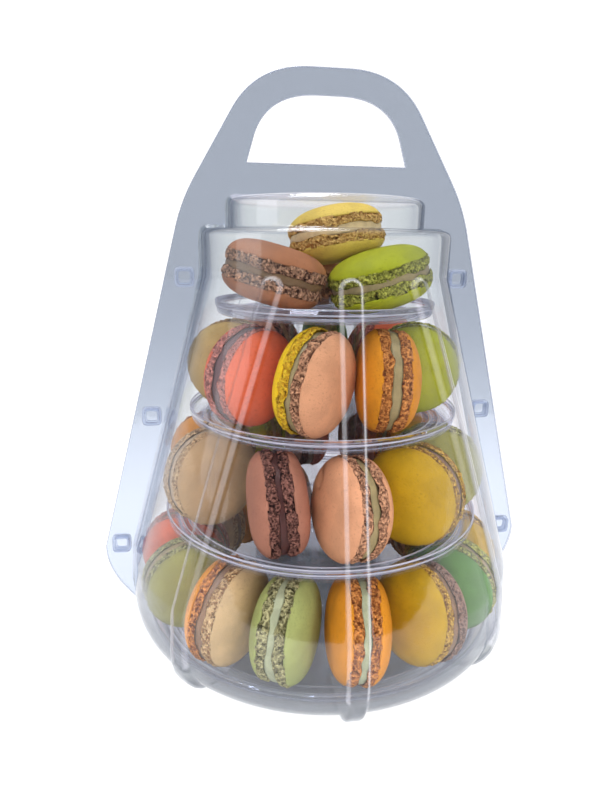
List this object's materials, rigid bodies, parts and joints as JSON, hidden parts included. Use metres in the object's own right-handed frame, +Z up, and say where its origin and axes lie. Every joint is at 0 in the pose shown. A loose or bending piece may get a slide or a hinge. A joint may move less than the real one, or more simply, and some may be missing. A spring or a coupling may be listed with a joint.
{
  "type": "macaron tower",
  "caption": "Clear snap-together carrier whose flat flange rises into a handle, shut round stacked round trays of macarons standing on edge in rings.",
  "frame": {"origin": "on the table, under the middle of the carrier", "axes": "+Z up, the flange and its handle in the XZ plane, the snap buttons' front towards -Y"},
  "size_m": [0.2024, 0.1812, 0.25],
  "materials": {
    "clear_plastic": "thin clear thermoformed sheet, glossy",
    "olive_shell": "smooth dry baked shell",
    "beige_shell": "smooth dry baked shell",
    "pistachio_shell": "smooth dry baked shell",
    "orange_shell": "smooth dry baked shell",
    "yellow_shell": "smooth dry baked shell",
    "leaf_green_shell": "smooth dry baked shell",
    "peach_shell": "smooth dry baked shell",
    "cocoa_shell": "smooth dry baked shell",
    "lime_shell": "smooth dry baked shell",
    "coral_shell": "smooth dry baked shell"
  },
  "bodies": {
    "root": {"carrier_front": "clear_plastic", "carrier_back": "clear_plastic", "tray_low": "clear_plastic", "tray_second": "clear_plastic", "tray_third": "clear_plastic", "tray_top": "clear_plastic", "macaron_low_01": "olive_shell", "macaron_low_02": "beige_shell", "macaron_low_03": "pistachio_shell", "macaron_low_04": "orange_shell", "macaron_low_05": "yellow_shell", "macaron_low_06": "leaf_green_shell", "macaron_low_07": "yellow_shell", "macaron_low_08": "peach_shell", "macaron_low_09": "cocoa_shell", "macaron_low_10": "pistachio_shell", "macaron_low_11": "peach_shell", "macaron_low_12": "orange_shell", "macaron_low_13": "beige_shell", "macaron_low_14": "coral_shell", "macaron_second_01": "beige_shell", "macaron_second_02": "cocoa_shell", "macaron_second_03": "peach_shell", "macaron_second_04": "yellow_shell", "macaron_second_05": "olive_shell", "macaron_second_06": "orange_shell", "macaron_second_07": "cocoa_shell", "macaron_second_08": "coral_shell", "macaron_second_09": "lime_shell", "macaron_second_10": "orange_shell", "macaron_third_01": "coral_shell", "macaron_third_02": "peach_shell", "macaron_third_03": "orange_shell", "macaron_third_04": "lime_shell", "macaron_third_05": "coral_shell", "macaron_third_06": "leaf_green_shell", "macaron_third_07": "cocoa_shell", "macaron_third_08": "beige_shell", "macaron_top_01": "cocoa_shell", "macaron_top_02": "lime_shell", "macaron_top_03": "peach_shell", "macaron_top_04": "yellow_shell"}
  },
  "joints": []
}
